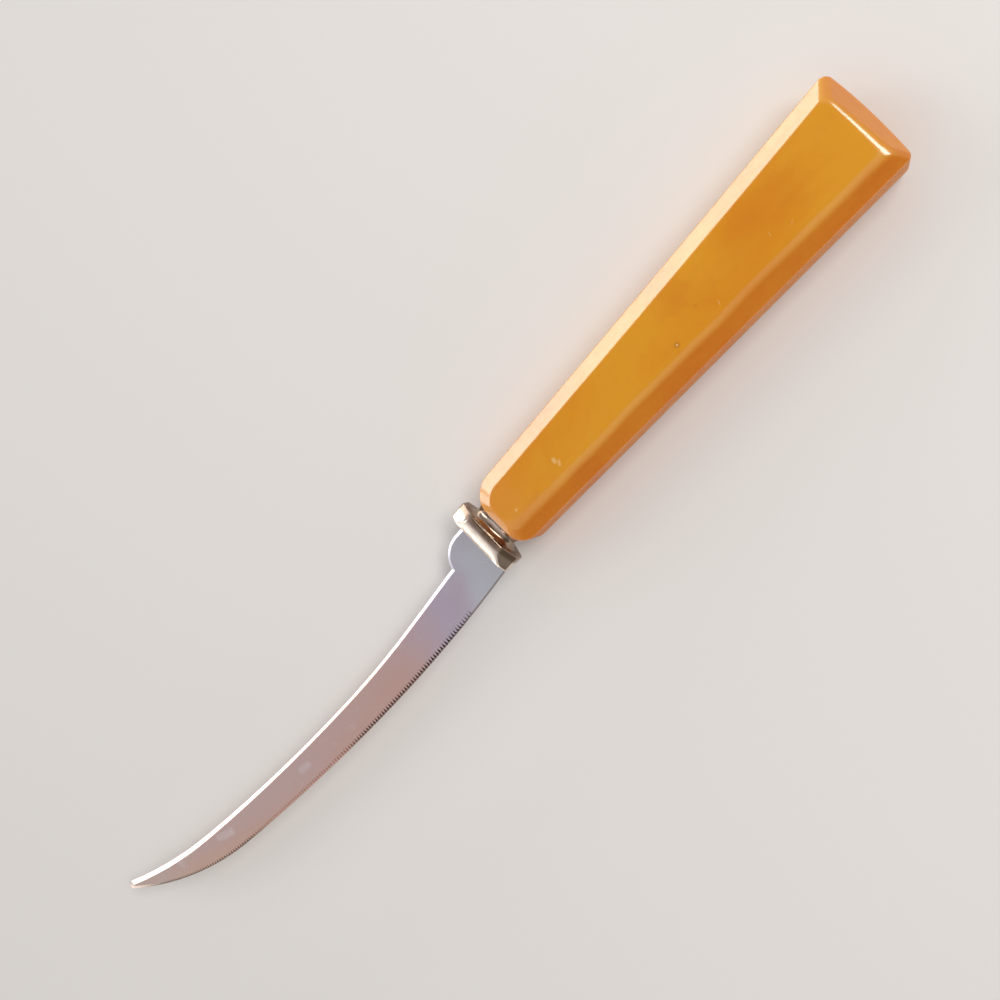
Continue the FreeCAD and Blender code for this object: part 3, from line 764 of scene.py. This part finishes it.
def bladeMaterial():
    look = bladeLook
    material, tree, surface, place = startMaterial("satinStainless")
    # Painted reflection: the hue changes along the blade to stand in for the surroundings mirrored in
    # it, with a random wander
    wander = addNode(tree, "ShaderNodeTexNoise", {}, {
        "Vector": place, "Scale": 55.0, "Detail": 2.0}).outputs["Fac"]
    along = addNode(tree, "ShaderNodeSeparateXYZ", {}, {"Vector": place}).outputs["X"]
    along = sums(tree, "MULTIPLY_ADD", sums(tree, "SUBTRACT", wander, 0.5), 0.05, along)
    colour = steelAndReflectionColour(tree, along)
    # Painted reflection and shade: greyer towards the spine, warmer towards the edge, away from the
    # root
    across = acrossBlade(tree, place)
    spineShade = remap(tree, across, -2.0 * mm, 3.5 * mm, 0.0, 0.5, True)
    forward = remap(tree, along, -25.0 * mm, -45.0 * mm, 0.0, 1.0, True)
    colour = mixColours(tree, sums(tree, "MULTIPLY", spineShade, forward), colour, look["spineShade"])
    patches = useGroup(tree, cloudyPatches, Place=place, **look["waterPatches"])["Mask"]
    colour = mixColours(tree, driedSplashes(tree, place, patches), colour, look["stain"])
    # Dried drops: a thin pale line round each patch of a second noise
    drops = addNode(tree, "ShaderNodeTexNoise", {}, {
        "Vector": place, "Scale": 210.0, "Detail": 1.5, "Roughness": 0.45}).outputs["Fac"]
    rim = remap(tree, sums(tree, "ABSOLUTE", sums(tree, "SUBTRACT", drops, 0.62)), 0.0, 0.018,
                1.0, 0.0, True)
    colour = mixColours(tree, sums(tree, "MULTIPLY", rim, 0.1), colour, look["stain"])
    # Painted shade and grime: darker ground flutes along the edge, where their slanted facets sit in
    # shade
    normal = addNode(tree, "ShaderNodeTexCoord").outputs["Normal"]
    upright = addNode(tree, "ShaderNodeSeparateXYZ", {}, {"Vector": normal}).outputs["Z"]
    slanted = remap(tree, sums(tree, "ABSOLUTE", upright), 0.997, 0.95, 0.0, 0.75)
    edgeSide = remap(tree, across, -0.4 * mm, -1.2 * mm, 0.0, 1.0, True)
    fluteShadeAndGrimeMask = sums(tree, "MULTIPLY", slanted, edgeSide)
    colour = mixColours(tree, fluteShadeAndGrimeMask, colour, look["fluteShadeAndGrime"])
    tree.links.new(colour, surface.inputs["Base Color"])
    scratchPlace = addNode(tree, "ShaderNodeMapping", {}, {
        "Vector": place, "Scale": (30.0, 1500.0, 1500.0)})
    scratches = useGroup(tree, hairScratches, Place=scratchPlace.outputs["Vector"],
                         **look["hairLines"])["Mask"]
    bump = addNode(tree, "ShaderNodeBump", {}, {**look["bump"], "Height": scratches})
    tree.links.new(bump.outputs["Normal"], surface.inputs["Normal"])
    worn = sums(tree, "MULTIPLY_ADD", rim, 0.08, sums(tree, "MULTIPLY", patches, 0.1))
    roughness = sums(tree, "ADD", worn, look["roughness"])
    tree.links.new(roughness, surface.inputs["Roughness"])
    surface.inputs["Metallic"].default_value = 1.0
    return material


blade.data.materials.clear()
blade.data.materials.append(bladeMaterial())
print("blade dressed")


# Studio: pale floor, low window panels on the spine side, an overhead panel beyond the butt

studioLook = {
    "floorReach": 3000.0,
    "floorSteps": 40,
    "floor": (0.82, 0.81, 0.795, 1.0),
    "floorGrain": (0.72, 0.71, 0.69, 1.0),
    "room": (0.52, 0.515, 0.51, 1.0),
    "horizon": (0.80, 0.79, 0.775, 1.0),
    "edgeSide": (0.20, 0.17, 0.14, 1.0),
    "overBlade": (0.62, 0.575, 0.585, 1.0),
    "beyondTip": (1.90, 1.85, 1.78, 1.0),
    "overHandle": (0.21, 0.17, 0.13, 1.0),
    "beyondButt": (0.60, 0.45, 0.36, 1.0),
}
panels = [
    # name, place, size across and up, power, colour
    ("windowPanel", (-96.0, 1000.0, 112.0), (2300.0, 130.0), 3.5, (1.0, 0.99, 0.96)),
    ("tipPanel", (-640.0, 900.0, 480.0), (540.0, 480.0), 2.5, (1.0, 0.985, 0.97)),
    ("overheadPanel", (430.0, -80.0, 520.0), (420.0, 170.0), 1.9, (1.0, 0.97, 0.94)),
]


def buildFloor():
    build = bmesh.new()
    steps = studioLook["floorSteps"]
    bmesh.ops.create_grid(build, x_segments=steps, y_segments=steps, size=studioLook["floorReach"] * mm)
    floor = meshObject("floor", build)
    material, tree, surface, place = startMaterial("paleFloor")
    grain = addNode(tree, "ShaderNodeTexNoise", {}, {"Vector": place, "Scale": 700.0, "Detail": 3.0})
    colour = mixColours(tree, sums(tree, "MULTIPLY", grain.outputs["Fac"], 0.04),
                        studioLook["floor"], studioLook["floorGrain"])
    tree.links.new(colour, surface.inputs["Base Color"])
    surface.inputs["Roughness"].default_value = 0.75
    surface.inputs["Specular IOR Level"].default_value = 0.3
    floor.data.materials.append(material)


def buildWorld():
    look = studioLook
    world = bpy.data.worlds.new("softRoom")
    bpy.context.scene.world = world
    world.use_nodes = True
    tree = world.node_tree
    tree.nodes.clear()
    direction = addNode(tree, "ShaderNodeTexCoord").outputs["Generated"]
    split = addNode(tree, "ShaderNodeSeparateXYZ", {}, {"Vector": direction}).outputs

    def towards(axis, start, full):
        # Grows from 0 to 1 as the direction turns along the axis
        return remap(tree, split[axis], start, full, 0.0, 1.0, True)

    edgeSide = towards("Y", -0.45, -0.8)
    overBlade = sums(tree, "MULTIPLY", towards("X", -0.2, -0.36), towards("Y", -0.6, -0.25))
    tip = sums(tree, "MULTIPLY", towards("Z", 0.34, 0.1), towards("X", -0.55, -0.85))
    butt = towards("X", 0.78, 0.93)
    # Dark patch that the top of the handle mirrors
    away = addNode(tree, "ShaderNodeVectorMath", {"operation": "DISTANCE"}, {
        0: direction, 1: (0.02, 0.18, 0.98)}).outputs["Value"]
    patch = remap(tree, away, 0.26, 0.38, 1.0, 0.0, True)
    colour = mixColours(tree, edgeSide, look["room"], look["edgeSide"])
    colour = mixColours(tree, overBlade, colour, look["overBlade"])
    colour = mixColours(tree, butt, colour, look["beyondButt"])
    colour = mixColours(tree, patch, colour, look["overHandle"])
    # Plain pale backdrop all round, low down
    colour = mixColours(tree, towards("Z", 0.36, 0.2), colour, look["horizon"])
    colour = mixColours(tree, tip, colour, look["beyondTip"])
    background = addNode(tree, "ShaderNodeBackground", {}, {"Color": colour, "Strength": 1.0})
    output = tree.nodes.new("ShaderNodeOutputWorld")
    tree.links.new(background.outputs["Background"], output.inputs["Surface"])


def areaLamp(name, place, size, power, colour):
    lamp = bpy.data.lights.new(name, "AREA")
    lamp.shape = "RECTANGLE"
    lamp.size = size[0] * mm
    lamp.size_y = size[1] * mm
    lamp.energy = power
    lamp.color = colour
    holder = bpy.data.objects.new(name, lamp)
    bpy.context.scene.collection.objects.link(holder)
    holder.location = Vector(place) * mm
    holder.rotation_euler = Vector(place).to_track_quat("Z", "Y").to_euler()


buildFloor()
buildWorld()
for panel in panels:
    areaLamp(*panel)
print("studio built")


# Camera: above the knife on the cutting side, at the view of the photograph

cameraLook = {
    "lens": 36.108,
    "place": (67.996, -32.160, 179.292),
    "right": (0.6453374, -0.6890707, -0.3297289),
    "up": (0.7111427, 0.6995456, -0.0700861),
}


def buildCamera():
    look = cameraLook
    data = bpy.data.cameras.new("photoView")
    data.sensor_width = 36.0
    data.lens = look["lens"]
    data.clip_start = 0.005
    data.clip_end = 20.0
    camera = bpy.data.objects.new("photoView", data)
    bpy.context.scene.collection.objects.link(camera)
    right = Vector(look["right"]).normalized()
    up = Vector(look["up"])
    up = (up - right * up.dot(right)).normalized()
    back = right.cross(up)
    turn = Matrix((right, up, back)).transposed()
    camera.rotation_euler = turn.to_euler()
    camera.location = Vector(look["place"]) * mm
    bpy.context.scene.camera = camera


buildCamera()
bpy.context.scene.view_settings.view_transform = "Standard"
print("camera placed")
